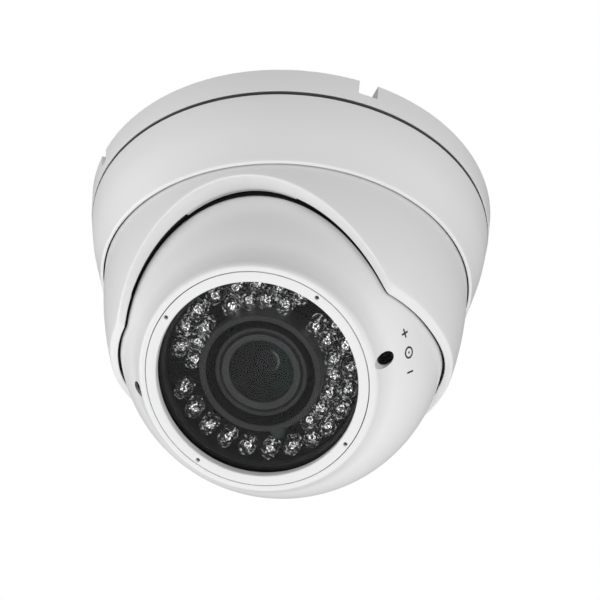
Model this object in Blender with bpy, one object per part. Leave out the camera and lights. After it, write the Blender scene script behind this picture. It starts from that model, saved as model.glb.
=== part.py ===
"""Dome CCTV camera that hangs from a ceiling, modelled in metres with +Z up.

The ceiling plane is z = 0 and the camera hangs below it. The front of the camera faces -Y.
A fixed base and cover ring hold a collar that pans. A gimbal ring tilts in the collar, and
the eyeball rolls in the gimbal ring. The eyeball's own parts are built about its optical
axis: local +Z points out of the window, and the origin is the eyeball's centre.
"""

import math

import bmesh
import bpy
from mathutils import Matrix, Vector

MM = 0.001

# Driving dimensions, in millimetres and degrees.
BASE_RADIUS = 64.0
FLANGE_DEPTH = 8.2
FLOOR_THICKNESS = 2.5
SPIGOT_BOTTOM = -23.2
SEAM_GAP = 1.0
COVER_BOTTOM = -31.1
COLLAR_RADIUS = 56.0
COLLAR_LEAN = 0.03
COLLAR_CURVE = 0.0048
BALL_CENTRE = -47.9
BALL_RADIUS = 49.15
SOCKET_RADIUS = 50.0
REST_TILT = 33.1
GAP = 0.3

# Lip of the collar: height at the front arch, at the sides and at the back.
LIP_INNER = (-33.1, -61.2, -56.9)
LIP_OUTER = (-34.4, -60.7, -57.9)
LIP_FLARE = 1.1
WIPER_DROP = 1.3
WIPER_DEPTH = 3.2
WIPER_RADII = (49.35, 49.62)
WIPER_TAPER = 3.0
ARCH_HALF_ANGLE = 53.5
ARCH_POWER = 0.55

NOTCH_ANGLES = (36.0, 131.0, 216.0, 310.0)
NOTCH_WIDTHS = (5.9, 5.9, 5.9, 3.8)
NOTCH_REACH = 6.6
NOTCH_HEIGHT = 5.1
MOUNT_HOLE_COUNT = 3
MOUNT_HOLE_CIRCLE = 50.0
MOUNT_HOLE_RADIUS = 2.3
INLET_POSITION = 45.0
INLET_RADIUS = 7.0

RING_OUTER = 31.7
RING_INNER = 28.8
RING_FACE = 39.2
RING_SCREW_CIRCLE = 30.6
GLASS_TOP = 36.2
GLASS_THICKNESS = 2.0
PORT_DISTANCE = 36.0
PORT_RADIUS = 2.15
SHROUD_RADIUS = 17.6
BARREL_RADIUS = 13.3
LED_RADIUS = 2.45
LED_SLOTS = 24
OUTER_LED_CIRCLE = 25.0
INNER_LED_CIRCLE = 20.3
OUTER_LED_START = 353.0
INNER_LED_START = 0.5
OUTER_EMPTY_PLACES = (12, 21)
INNER_EMPTY_PLACES = (5, 6, 7, 8, 9, 10, 11, 12, 16, 21)

RING_TEETH = 28
IDLER_TEETH = 22
PINION_TEETH = 10
FOCUS_GEAR = (12.2, 14.6)
ZOOM_GEAR = (8.7, 11.1)
CHASSIS_TOP = -5.2


def clear_scene():
    for old in list(bpy.data.objects):
        bpy.data.objects.remove(old, do_unlink=True)


def make_material(name, colour, roughness, metallic=0.0, alpha=1.0):
    found = bpy.data.materials.new(name)
    found.use_nodes = True
    shader = found.node_tree.nodes["Principled BSDF"]
    shader.inputs["Base Color"].default_value = (*colour, 1.0)
    shader.inputs["Roughness"].default_value = roughness
    shader.inputs["Metallic"].default_value = metallic
    shader.inputs["Alpha"].default_value = alpha
    return found


def make_empty(name, location, rotation, parent=None):
    empty = bpy.data.objects.new(name, None)
    empty.location = Vector(location) * MM
    empty.rotation_euler = rotation
    empty.parent = parent
    bpy.context.scene.collection.objects.link(empty)
    return empty


def finish_mesh(name, bm, material, parent, smooth=True):
    """Turn a bmesh in millimetres into an object with outward faces."""
    bmesh.ops.remove_doubles(bm, verts=bm.verts, dist=1e-5)
    bmesh.ops.scale(bm, vec=(MM, MM, MM), verts=bm.verts)
    bmesh.ops.recalc_face_normals(bm, faces=bm.faces)
    mesh = bpy.data.meshes.new(name)
    bm.to_mesh(mesh)
    bm.free()
    if smooth:
        mesh.shade_smooth()
        mesh.set_sharp_from_angle(angle=math.radians(35.0))
    made = bpy.data.objects.new(name, mesh)
    made.data.materials.append(material)
    made.parent = parent
    bpy.context.scene.collection.objects.link(made)
    return made


def turned(name, profile, sides, material, parent=None):
    """Spin a closed outline of (radius, height) points about Z."""
    bm = bmesh.new()
    ring = [bm.verts.new((radius, 0.0, height)) for radius, height in profile]
    edges = [bm.edges.new((ring[i - 1], ring[i])) for i in range(len(ring))]
    on_axis = [e for e in edges if max(v.co.x for v in e.verts) < 1e-6]
    edges = [e for e in edges if e not in on_axis]
    bmesh.ops.delete(bm, geom=on_axis, context="EDGES")
    bmesh.ops.spin(
        bm,
        geom=ring + edges,
        cent=(0.0, 0.0, 0.0),
        axis=(0.0, 0.0, 1.0),
        angle=2.0 * math.pi,
        steps=sides,
        use_merge=True,
    )
    return finish_mesh(name, bm, material, parent)


def lofted(name, columns, material, parent=None):
    """Close a loop of equal outlines, each a list of points, into one ring-like solid."""
    bm = bmesh.new()
    grid = [[bm.verts.new(point) for point in column] for column in columns]
    for left, right in zip(grid, grid[1:] + grid[:1]):
        for i in range(len(left)):
            bm.faces.new((left[i - 1], left[i], right[i], right[i - 1]))
    return finish_mesh(name, bm, material, parent)


def box(name, low, high, material, parent=None):
    bm = bmesh.new()
    bmesh.ops.create_cube(bm, size=1.0)
    low, high = Vector(low), Vector(high)
    bmesh.ops.scale(bm, vec=high - low, verts=bm.verts)
    bmesh.ops.translate(bm, vec=(low + high) / 2.0, verts=bm.verts)
    return finish_mesh(name, bm, material, parent, smooth=False)


def rod(name, start, end, radius, material, parent=None, sides=16):
    """A plain cylinder between two points."""
    start, end = Vector(start), Vector(end)
    bm = bmesh.new()
    bmesh.ops.create_cone(
        bm,
        cap_ends=True,
        segments=sides,
        radius1=radius,
        radius2=radius,
        depth=(end - start).length,
    )
    turn = (end - start).to_track_quat("Z", "Y").to_matrix().to_4x4()
    bmesh.ops.transform(bm, matrix=Matrix.Translation((start + end) / 2.0) @ turn, verts=bm.verts)
    return finish_mesh(name, bm, material, parent)


def combine(target, tool, operation):
    """Add a Boolean of a hidden tool object to the target."""
    tool.hide_render = True
    tool.display_type = "WIRE"
    modifier = target.modifiers.new(f"{operation.lower()}_{tool.name}", "BOOLEAN")
    modifier.operation = operation
    modifier.solver = "EXACT"
    modifier.object = tool


def cut(target, *tools):
    for tool in tools:
        combine(target, tool, "DIFFERENCE")


def arc(radius, first_height, last_height, steps):
    """Points of a circle about the origin, from one height to another."""
    first = math.acos(first_height / radius)
    last = math.acos(last_height / radius)
    angles = [first + (last - first) * i / steps for i in range(steps + 1)]
    return [(radius * math.sin(a), radius * math.cos(a)) for a in angles]


def around(radius, degrees, height):
    angle = math.radians(degrees)
    return (radius * math.cos(angle), radius * math.sin(angle), height)


# ---------------------------------------------------------------- fixed base


def build_base(look):
    base = turned(
        "base_plate",
        [
            (0.0, 0.0),
            (BASE_RADIUS - 0.5, 0.0),
            (BASE_RADIUS, -0.5),
            (BASE_RADIUS - 0.8, -FLANGE_DEPTH),
            (57.6, -FLANGE_DEPTH),
            (57.6, SPIGOT_BOTTOM),
            (54.6, SPIGOT_BOTTOM),
            (54.6, -FLOOR_THICKNESS),
            (0.0, -FLOOR_THICKNESS),
        ],
        48,
        look["white"],
    )
    for degrees, width in zip(NOTCH_ANGLES, NOTCH_WIDTHS):
        tool = box(
            f"notch_tool_{degrees:.0f}",
            (-width / 2.0, -BASE_RADIUS - 1.0, -NOTCH_HEIGHT),
            (width / 2.0, -BASE_RADIUS + NOTCH_REACH, 1.0),
            look["white"],
        )
        tool.rotation_euler = (0.0, 0.0, math.radians(degrees))
        cut(base, tool)
    for i in range(MOUNT_HOLE_COUNT):
        x, y, _ = around(MOUNT_HOLE_CIRCLE, 30.0 + 120.0 * i, 0.0)
        tool = rod(
            f"mount_hole_tool_{i}", (x, y, -5.0), (x, y, 1.0), MOUNT_HOLE_RADIUS, look["white"]
        )
        cut(base, tool)
    inlet = rod(
        "inlet_tool",
        (0.0, INLET_POSITION, -5.0),
        (0.0, INLET_POSITION, 1.0),
        INLET_RADIUS,
        look["white"],
        sides=24,
    )
    cut(base, inlet)

    grommet = turned(
        "cable_grommet",
        [
            (3.8, -GAP),
            (6.7, -GAP),
            (6.7, -2.8),
            (9.4, -2.8),
            (9.0, -4.8),
            (5.4, -6.5),
            (3.8, -6.5),
        ],
        24,
        look["rubber"],
    )
    grommet.location = (0.0, INLET_POSITION * MM, 0.0)


def build_cover(look):
    top = -FLANGE_DEPTH - SEAM_GAP
    cover = turned(
        "cover_ring",
        [
            (61.0, top),
            (62.5, top),
            (62.8, top - 0.3),
            (62.3, -13.0),
            (61.3, -18.0),
            (59.8, -23.0),
            (58.3, -27.6),
            (57.5, -30.5),
            (56.8, COVER_BOTTOM),
            (56.4, COVER_BOTTOM + 0.15),
            (56.4, -29.9),
            (55.7, -29.9),
            (55.7, -28.5),
            (57.4, -28.5),
            (57.4, -24.0),
            (57.9, -23.0),
            (57.9, top),
            (59.0, top),
            (59.0, top - 1.2),
            (61.0, top - 1.2),
        ],
        48,
        look["white"],
    )
    screw_height = -16.0
    hole = rod(
        "lock_hole_tool",
        (0.0, 54.0, screw_height),
        (0.0, 70.0, screw_height),
        1.9,
        look["white"],
        sides=12,
    )
    cut(cover, hole)
    lock = rod(
        "cover_lock_screw",
        (0.0, 58.0, screw_height),
        (0.0, 61.2, screw_height),
        1.6,
        look["steel"],
        sides=12,
    )
    socket = rod(
        "lock_socket_tool",
        (0.0, 59.7, screw_height),
        (0.0, 64.0, screw_height),
        0.8,
        look["steel"],
        sides=6,
    )
    cut(lock, socket)
    turned(
        "cover_seal",
        [
            (59.3, top + SEAM_GAP - 0.15),
            (62.9, top + SEAM_GAP - 0.15),
            (62.9, top + 0.15),
            (60.7, top + 0.15),
            (60.7, top - 0.8),
            (59.3, top - 0.8),
        ],
        48,
        look["rubber"],
    )
    turned(
        "pan_friction_ring",
        [(53.6, -23.5), (57.0, -23.5), (57.0, -25.1), (53.6, -25.1)],
        48,
        look["nylon"],
    )


# ---------------------------------------------------------------- pan collar


def arch_rise(azimuth):
    """One at the top of the front arch, falling to zero at the cheeks."""
    if abs(azimuth) > ARCH_HALF_ANGLE:
        return 0.0
    return ((1.0 + math.cos(math.pi * azimuth / ARCH_HALF_ANGLE)) / 2.0) ** ARCH_POWER


def lip_height(azimuth, heights):
    """Height of the lip at an angle from the front, in degrees."""
    arch, side, back = heights
    way = min(1.0, max(0.0, abs(azimuth) - 75.0) / 50.0)
    behind = way * way * (3.0 - 2.0 * way)
    return side + (arch - side) * arch_rise(azimuth) + (back - side) * behind


def collar_outside(height):
    below = max(0.0, -30.0 - height)
    return COLLAR_RADIUS - COLLAR_LEAN * below - COLLAR_CURVE * below * below


def socket_inside(height):
    return math.sqrt(SOCKET_RADIUS**2 - (height - BALL_CENTRE) ** 2)


def collar_outline(azimuth):
    """Section of the collar at one azimuth, as (radius, height) points."""
    outer = lip_height(azimuth, LIP_OUTER)
    inner = lip_height(azimuth, LIP_INNER)
    flange_top, flange_bottom = -25.4, -28.2
    shoulder = -30.2
    outline = [(46.9, flange_top), (57.1, flange_top), (57.1, flange_bottom)]
    outline += [(COLLAR_RADIUS - 0.6, flange_bottom), (COLLAR_RADIUS - 0.6, shoulder)]
    round_start = outer + 1.4
    for i in range(4):
        height = shoulder + (round_start - shoulder) * i / 3.0
        outline.append((collar_outside(height), height))
    edge = collar_outside(outer)
    inner_edge = socket_inside(inner) + LIP_FLARE * arch_rise(azimuth)
    outline.append((edge - 0.4, outer + 0.3))
    outline.append((edge - 0.9, outer + (inner - outer) * 0.1))
    outline.append((inner_edge + 0.3, inner - 0.2))
    outline.append((inner_edge, inner))
    for i in range(1, 4):
        height = inner + (-30.2 - inner) * i / 3.0
        outline.append((socket_inside(height), height))
    return outline


def build_collar(look, pan_axis):
    columns = []
    column_count = 64
    for i in range(column_count):
        azimuth = -180.0 + 360.0 * i / column_count
        angle = math.radians(azimuth)
        outline = collar_outline(azimuth)
        columns.append([(r * math.sin(angle), -r * math.cos(angle), z) for r, z in outline])
    collar = lofted("pan_collar", columns, look["white"], pan_axis)
    for side, name in ((-1.0, "left"), (1.0, "right")):
        slot = box(
            f"pivot_slot_tool_{name}",
            (min(side * 44.0, side * 52.4), -2.9, BALL_CENTRE),
            (max(side * 44.0, side * 52.4), 2.9, -20.0),
            look["white"],
            pan_axis,
        )
        seat = rod(
            f"pivot_seat_tool_{name}",
            (side * 44.0, 0.0, BALL_CENTRE),
            (side * 52.4, 0.0, BALL_CENTRE),
            2.9,
            look["white"],
            pan_axis,
        )
        cut(collar, slot, seat)
        box(
            f"pivot_keeper_{name}",
            (min(side * 50.3, side * 52.1), -2.6, BALL_CENTRE + 2.8),
            (max(side * 50.3, side * 52.1), 2.6, -26.0),
            look["steel"],
            pan_axis,
        )


def build_wiper(look, pan_axis):
    """Thin rubber strip between the collar and the ball, showing only under the arch."""
    columns = []
    column_count = 64
    for i in range(column_count):
        azimuth = -180.0 + 360.0 * i / column_count
        angle = math.radians(azimuth)
        showing = arch_rise(azimuth) ** WIPER_TAPER
        low = lip_height(azimuth, LIP_INNER) + 0.5 - (0.5 + WIPER_DROP) * showing
        outline = []
        for radius, height in (
            (WIPER_RADII[0], low),
            (WIPER_RADII[1], low),
            (WIPER_RADII[1], low + WIPER_DEPTH),
            (WIPER_RADII[0], low + WIPER_DEPTH),
        ):
            across = math.sqrt(radius**2 - (height - BALL_CENTRE) ** 2)
            outline.append((across * math.sin(angle), -across * math.cos(angle), height))
        columns.append(outline)
    lofted("dust_wiper", columns, look["rubber"], pan_axis)


# ---------------------------------------------------------------- gimbal


def build_gimbal(look, tilt_axis):
    ring = turned(
        "gimbal_ring",
        arc(BALL_RADIUS, 3.6, -5.0, 3) + [(43.4, -5.0), (43.4, 3.6)],
        40,
        look["white"],
        tilt_axis,
    )
    for side, name in ((-1.0, "left"), (1.0, "right")):
        bore = rod(
            f"pin_bore_tool_{name}",
            (side * 41.0, 0.0, 0.0),
            (side * 53.0, 0.0, 0.0),
            2.6,
            look["steel"],
            tilt_axis,
        )
        cut(ring, bore)
        rod(
            f"pivot_pin_{name}",
            (side * 43.8, 0.0, 0.0),
            (side * 52.1, 0.0, 0.0),
            2.3,
            look["steel"],
            tilt_axis,
        )


# ---------------------------------------------------------------- eyeball shells


def build_shells(look, ball):
    inner_radius = 46.4
    front = turned(
        "front_shell",
        arc(BALL_RADIUS, 3.9, 32.0, 6)
        + [
            (36.0, 34.3),
            (34.7, 37.2),
            (33.9, 38.7),
            (33.1, 39.2),
            (RING_OUTER + 0.25, 39.1),
            (RING_OUTER + 0.25, 36.3),
            (29.7, 36.3),
            (29.7, 33.0),
            (27.9, 33.0),
            (27.9, 31.0),
        ]
        + arc(inner_radius, 31.0, 7.0, 3)
        + [(40.8, 7.0), (40.8, -4.9), (43.1, -4.9), (43.1, 3.9)],
        48,
        look["white"],
        ball,
    )
    for side, name in ((-1.0, "zoom"), (1.0, "focus")):
        x = side * PORT_DISTANCE
        port = rod(
            f"{name}_port_tool", (x, 0.0, 22.0), (x, 0.0, 44.0), PORT_RADIUS, look["white"], ball
        )
        cut(front, port)

    turned(
        "rear_shell",
        [(42.6, -5.3)]
        + arc(44.4, -5.3, -36.0, 4)
        + [(4.4, -36.0), (4.4, -33.8)]
        + arc(42.2, -33.8, -7.0, 3)
        + [(42.6, -7.0)],
        32,
        look["white"],
        ball,
    )
    turned(
        "rear_gland",
        [
            (2.4, -38.6),
            (4.4, -38.6),
            (6.8, -37.4),
            (6.8, -36.3),
            (4.1, -36.3),
            (4.1, -33.2),
            (2.4, -33.2),
        ],
        20,
        look["rubber"],
        ball,
    )
    return front


def build_window(look, ball, front):
    ring = turned(
        "window_ring",
        [
            (RING_INNER, 36.6),
            (RING_OUTER, 36.6),
            (RING_OUTER, RING_FACE - 0.3),
            (RING_OUTER - 0.3, RING_FACE),
            (RING_INNER + 0.4, RING_FACE),
            (RING_INNER, RING_FACE - 0.4),
        ],
        40,
        look["white"],
        ball,
    )
    for i in range(4):
        x, y, _ = around(RING_SCREW_CIRCLE, 45.0 + 90.0 * i, 0.0)
        through = rod(
            f"ring_hole_tool_{i}", (x, y, 33.4), (x, y, 41.0), 0.75, look["white"], ball, sides=8
        )
        cut(ring, through)
        cut(front, through)
        rod(
            f"ring_screw_{i + 1}", (x, y, 33.8), (x, y, 38.6), 0.5, look["steel"], ball, sides=8
        )
    turned(
        "window_glass",
        [
            (0.0, GLASS_TOP),
            (29.1, GLASS_TOP),
            (29.4, GLASS_TOP - 0.3),
            (29.4, GLASS_TOP - GLASS_THICKNESS),
            (0.0, GLASS_TOP - GLASS_THICKNESS),
        ],
        40,
        look["window"],
        ball,
    )
    turned(
        "window_gasket",
        [(28.1, 33.3), (29.4, 33.3), (29.4, 33.9), (28.1, 33.9)],
        40,
        look["rubber"],
        ball,
    )


# ---------------------------------------------------------------- infrared lamps


def led_angles(start, empty):
    """Angles of the filled places on a circle of evenly spaced lamps, in degrees."""
    pitch = 360.0 / LED_SLOTS
    return [start - pitch * i for i in range(LED_SLOTS) if i not in empty]


def led_bodies(name, circle, angles, look, ball):
    """Every clear lamp of one circle, as separate domes in one tool object."""
    bm = bmesh.new()
    sections = ((LED_RADIUS, 24.5), (LED_RADIUS, 30.2), (0.72 * LED_RADIUS, 31.9))
    sides = 6
    for degrees in angles:
        centre = Vector(around(circle, degrees, 0.0))
        rings = []
        for radius, height in sections:
            loop = [
                bm.verts.new(centre + Vector(around(radius, 360.0 * i / sides, height)))
                for i in range(sides)
            ]
            rings.append(loop)
        tip = bm.verts.new(centre + Vector((0.0, 0.0, 32.6)))
        bm.faces.new(list(reversed(rings[0])))
        for low, high in zip(rings, rings[1:]):
            for i in range(sides):
                bm.faces.new((low[i - 1], low[i], high[i], high[i - 1]))
        for i in range(sides):
            bm.faces.new((rings[-1][i - 1], rings[-1][i], tip))
    return finish_mesh(name, bm, look["led"], ball)


def build_leds(look, ball):
    turned(
        "led_board",
        [(18.0, 22.4), (27.3, 22.4), (27.3, 24.0), (18.0, 24.0)],
        40,
        look["board"],
        ball,
    )
    circles = (
        ("outer_leds", OUTER_LED_CIRCLE, (23.0, 26.3), OUTER_LED_START, OUTER_EMPTY_PLACES),
        ("inner_leds", INNER_LED_CIRCLE, (18.2, 22.6), INNER_LED_START, INNER_EMPTY_PLACES),
    )
    for name, circle, (inside, outside), start, empty in circles:
        carrier = turned(
            name,
            [(inside, 24.3), (outside, 24.3), (outside, 24.8), (inside, 24.8)],
            40,
            look["led"],
            ball,
        )
        lamps = led_bodies(f"{name}_tool", circle, led_angles(start, empty), look, ball)
        combine(carrier, lamps, "UNION")
    cell = turned(
        "photocell",
        [(0.0, 25.1), (2.1, 25.1), (2.1, 27.6), (1.6, 28.0), (0.0, 28.0)],
        12,
        look["window"],
        ball,
    )
    x, y, _ = around(20.2, -90.0, 0.0)
    cell.location = (x * MM, y * MM, 0.0)
    turned(
        "ir_shroud",
        [
            (14.0, 20.9),
            (SHROUD_RADIUS, 20.9),
            (SHROUD_RADIUS, 33.3),
            (SHROUD_RADIUS - 0.4, 33.7),
            (15.2, 33.7),
            (14.5, 33.0),
        ],
        32,
        look["rubber"],
        ball,
    )


# ---------------------------------------------------------------- lens


def gear_module():
    """Module of the train: the ring, one idler and the pinion reach from the axis to the port."""
    return PORT_DISTANCE / (RING_TEETH / 2.0 + IDLER_TEETH + PINION_TEETH / 2.0)


def idler_distance():
    return gear_module() * (RING_TEETH + IDLER_TEETH) / 2.0


def tooth_corners(teeth, phase):
    """(azimuth, radius) of the four corners of each tooth of a spur gear."""
    module = gear_module()
    pitch_radius = module * teeth / 2.0
    addendum, dedendum = 0.58 * module, 0.85 * module
    half = math.pi * module / 4.0 * 0.8
    slope = math.tan(math.radians(22.0))
    corners = (
        (-half - dedendum * slope, -dedendum),
        (-half + addendum * slope, addendum),
        (half - addendum * slope, addendum),
        (half + dedendum * slope, -dedendum),
    )
    for tooth in range(teeth):
        middle = 2.0 * math.pi * (tooth + phase) / teeth
        for across, out in corners:
            yield middle + across / pitch_radius, pitch_radius + out


def build_gear(name, teeth, phase, bore, heights, look, ball):
    low, high = heights
    columns = []
    for azimuth, radius in tooth_corners(teeth, phase):
        outline = [(bore, low), (radius, low), (radius, high), (bore, high)]
        columns.append([(r * math.cos(azimuth), r * math.sin(azimuth), z) for r, z in outline])
    return lofted(name, columns, look["dark_plastic"], ball)


def build_adjuster(name, side, heights, look, ball):
    """Journal, pinion, shaft and slotted head in one piece, turning under its port."""
    low, high = heights
    shaft, head = 1.2, 1.75
    bm = bmesh.new()
    grid = []
    for azimuth, radius in tooth_corners(PINION_TEETH, 0.0):
        outline = [
            (0.0, low - 5.7),
            (shaft, low - 5.7),
            (shaft, low),
            (radius, low),
            (radius, high),
            (shaft, high),
            (shaft, 23.5),
            (head, 23.5),
            (head, 25.5),
            (0.0, 25.5),
        ]
        points = [(r * math.cos(azimuth), r * math.sin(azimuth), z) for r, z in outline]
        grid.append([bm.verts.new(point) for point in points])
    for left, right in zip(grid, grid[1:] + grid[:1]):
        for i in range(1, len(left)):
            bm.faces.new((left[i - 1], left[i], right[i], right[i - 1]))
    bmesh.ops.remove_doubles(bm, verts=bm.verts, dist=1e-5)
    adjuster = finish_mesh(name, bm, look["dark_plastic"], ball)
    adjuster.location = (side * PORT_DISTANCE * MM, 0.0, 0.0)
    slot = box(
        f"{name}_slot_tool", (-3.0, -0.4, 24.6), (3.0, 0.4, 27.0), look["dark_plastic"], adjuster
    )
    cut(adjuster, slot)


def build_train(name, side, heights, look, ball):
    """Ring gear, idler on its pin, and adjuster in its post, from the lens out to the port."""
    low, high = heights
    foot = CHASSIS_TOP + GAP
    build_gear(f"{name}_ring", RING_TEETH, 0.0, 8.3, heights, look, ball)
    idler = build_gear(f"{name}_idler", IDLER_TEETH, 0.5, 1.65, heights, look, ball)
    pin = turned(
        f"{name}_idler_post",
        [
            (0.0, foot),
            (2.6, foot),
            (2.6, low - GAP),
            (1.5, low - GAP),
            (1.5, high + GAP),
            (2.4, high + GAP),
            (2.4, high + 1.2),
            (0.0, high + 1.2),
        ],
        16,
        look["steel"],
        ball,
    )
    for part in (idler, pin):
        part.location = (side * idler_distance() * MM, 0.0, 0.0)
    build_adjuster(f"{name}_adjuster", side, heights, look, ball)
    post = turned(
        f"{name}_adjuster_post",
        [
            (0.0, foot),
            (2.6, foot),
            (2.6, low - GAP),
            (1.35, low - GAP),
            (1.35, low - 6.0),
            (0.0, low - 6.0),
        ],
        16,
        look["dark_plastic"],
        ball,
    )
    post.location = (side * PORT_DISTANCE * MM, 0.0, 0.0)


def build_lens(look, ball):
    turned(
        "lens_barrel",
        [
            (7.0, 4.2),
            (8.0, 4.2),
            (8.0, 14.9),
            (11.5, 14.9),
            (11.5, 20.5),
            (BARREL_RADIUS, 20.5),
            (BARREL_RADIUS, 31.9),
            (13.0, 32.2),
            (11.4, 32.2),
            (9.35, 31.8),
            (9.35, 30.5),
            (10.4, 30.2),
            (10.4, 16.0),
            (7.0, 16.0),
        ],
        28,
        look["lens_black"],
        ball,
    )
    build_train("focus", 1.0, FOCUS_GEAR, look, ball)
    build_train("zoom", -1.0, ZOOM_GEAR, look, ball)

    turned(
        "front_lens_cell",
        [(8.4, 17.6), (10.1, 17.6), (10.1, 28.6), (9.6, 28.6), (9.6, 27.0), (8.4, 27.0)],
        32,
        look["lens_black"],
        ball,
    )
    turned(
        "front_lens",
        [
            (0.0, 27.3),
            (9.3, 27.3),
            (9.3, 28.9),
            (9.1, 29.2),
            (9.1, 31.4),
            (7.4, 31.9),
            (5.0, 32.3),
            (2.5, 32.53),
            (0.0, 32.6),
        ],
        32,
        look["lens_glass"],
        ball,
    )
    turned(
        "rear_lens_cell",
        [(4.4, 5.9), (6.7, 5.9), (6.7, 11.9), (4.4, 11.9)],
        24,
        look["lens_black"],
        ball,
    )
    turned(
        "rear_lens",
        [(0.0, 7.4), (4.1, 7.8), (4.1, 10.0), (0.0, 10.6)],
        20,
        look["lens_glass"],
        ball,
    )

    mount = box("lens_mount", (-11.0, -11.0, 0.3), (11.0, 11.0, 8.2), look["dark_plastic"], ball)
    bore = rod("mount_bore_tool", (0.0, 0.0, 3.9), (0.0, 0.0, 9.0), 8.3, look["white"], ball, 32)
    well = box("mount_well_tool", (-5.5, -5.5, -1.0), (5.5, 5.5, 4.5), look["white"], ball)
    slit = box("filter_slit_tool", (-12.0, -4.4, 2.1), (12.0, 4.4, 3.5), look["white"], ball)
    cut(mount, bore, well, slit)
    slider = box("filter_slider", (-10.5, -4.1, 2.4), (4.5, 4.1, 3.2), look["steel"], ball)
    filters = box("filter_hole_tool", (-9.2, -2.8, 2.0), (-3.6, 2.8, 4.0), look["steel"], ball)
    cut(slider, filters)
    sight = box("sight_hole_tool", (-2.8, -2.8, 2.0), (2.8, 2.8, 4.0), look["steel"], ball)
    cut(slider, sight)
    box("image_sensor", (-4.5, -3.8, 0.3), (4.5, 3.8, 1.4), look["window"], ball)


# ---------------------------------------------------------------- boards and chassis


def build_chassis(look, ball):
    box("sensor_board", (-16.0, -16.0, -1.6), (16.0, 16.0, 0.0), look["board"], ball)
    plate = turned(
        "chassis_plate",
        [(0.0, -6.7), (42.3, -6.7), (42.3, CHASSIS_TOP), (0.0, CHASSIS_TOP)],
        36,
        look["steel"],
        ball,
    )
    for i, (x, y) in enumerate(((-13.0, -13.0), (13.0, -13.0), (-13.0, 13.0), (13.0, 13.0))):
        post = rod(
            f"sensor_post_tool_{i}", (x, y, -5.9), (x, y, -1.9), 1.8, look["steel"], ball, sides=8
        )
        combine(plate, post, "UNION")
        rod(f"board_post_{i + 1}", (x, y, -17.6), (x, y, -7.0), 1.8, look["steel"], ball, sides=8)
    wire_hole = rod(
        "wire_hole_tool", (0.0, -28.0, -8.0), (0.0, -28.0, -4.0), 4.0, look["steel"], ball
    )
    cut(plate, wire_hole)
    box("main_board", (-20.0, -17.0, -19.5), (20.0, 17.0, -17.9), look["board"], ball)
    for i, degrees in enumerate((90.0, 240.0, 300.0)):
        x, y, _ = around(23.5, degrees, 0.0)
        rod(f"led_post_{i + 1}", (x, y, -4.9), (x, y, 22.1), 1.8, look["nylon"], ball, sides=8)


def build_camera():
    clear_scene()
    look = {
        "white": make_material("white_paint", (0.80, 0.81, 0.81), 0.38),
        "dark_plastic": make_material("dark_plastic", (0.03, 0.03, 0.032), 0.5),
        "rubber": make_material("black_rubber", (0.025, 0.025, 0.027), 0.7),
        "nylon": make_material("natural_nylon", (0.62, 0.60, 0.55), 0.5),
        "steel": make_material("steel", (0.55, 0.56, 0.58), 0.3, 1.0),
        "window": make_material("window_glass", (0.02, 0.02, 0.022), 0.05, 0.0, 0.35),
        "led": make_material("clear_epoxy", (0.85, 0.87, 0.9), 0.08, 0.0, 0.5),
        "board": make_material("circuit_board", (0.01, 0.012, 0.012), 0.45),
        "lens_black": make_material("lens_black", (0.03, 0.03, 0.032), 0.4),
        "lens_glass": make_material("lens_glass", (0.03, 0.045, 0.04), 0.03),
    }
    pan_axis = make_empty("pan_axis", (0.0, 0.0, 0.0), (0.0, 0.0, 0.0))
    down_to_front = (math.pi - math.radians(REST_TILT), 0.0, 0.0)
    tilt_axis = make_empty("tilt_axis", (0.0, 0.0, BALL_CENTRE), down_to_front, pan_axis)
    ball = make_empty("optical_axis", (0.0, 0.0, 0.0), (0.0, 0.0, 0.0), tilt_axis)

    build_base(look)
    build_cover(look)
    build_collar(look, pan_axis)
    build_wiper(look, pan_axis)
    build_gimbal(look, tilt_axis)
    front = build_shells(look, ball)
    build_window(look, ball, front)
    build_leds(look, ball)
    build_lens(look, ball)
    build_chassis(look, ball)


build_camera()
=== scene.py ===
import math
import random

import bmesh
import bpy
from mathutils import Matrix, Vector


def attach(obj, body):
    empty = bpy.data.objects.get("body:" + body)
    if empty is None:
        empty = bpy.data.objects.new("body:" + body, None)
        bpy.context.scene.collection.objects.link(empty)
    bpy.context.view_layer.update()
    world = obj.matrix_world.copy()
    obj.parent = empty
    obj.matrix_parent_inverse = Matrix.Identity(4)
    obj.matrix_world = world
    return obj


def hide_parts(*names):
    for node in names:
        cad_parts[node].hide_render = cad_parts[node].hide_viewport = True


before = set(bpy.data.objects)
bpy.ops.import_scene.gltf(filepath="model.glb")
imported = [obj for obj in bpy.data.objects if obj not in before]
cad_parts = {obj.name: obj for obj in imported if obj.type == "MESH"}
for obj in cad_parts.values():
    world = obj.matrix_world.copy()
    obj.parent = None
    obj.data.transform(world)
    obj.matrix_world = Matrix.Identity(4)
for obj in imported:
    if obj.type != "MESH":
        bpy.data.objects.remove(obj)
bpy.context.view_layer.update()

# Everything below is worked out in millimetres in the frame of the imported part, and scaled at the end.
MM = 0.001
BASE_RADIUS = 64.0
FLANGE_DEPTH = 8.2
SEAM_GAP = 1.0
COVER_BOTTOM = -31.1
COVER_BORE = 56.4
SPIGOT_BOTTOM = -23.2
FLOOR_THICKNESS = 2.5
MOUNT_HOLE_CIRCLE = 50.0
MOUNT_HOLE_RADIUS = 2.3
COLLAR_RADIUS = 56.0
COLLAR_LEAN = 0.03
COLLAR_CURVE = 0.0048
COLLAR_TOP = -25.4
NECK_BOTTOM = -30.2
BALL_CENTRE = -47.9
BALL_RADIUS = 49.15
SOCKET_RADIUS = 50.0
SHELL_INNER_RADIUS = 46.4
REST_TILT = 33.1
LIP_INNER = (-33.1, -61.2, -56.9)
LIP_OUTER = (-34.4, -60.7, -57.9)
LIP_FLARE = 1.1
WIPER_DROP = 1.3
WIPER_DEPTH = 3.2
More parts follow.
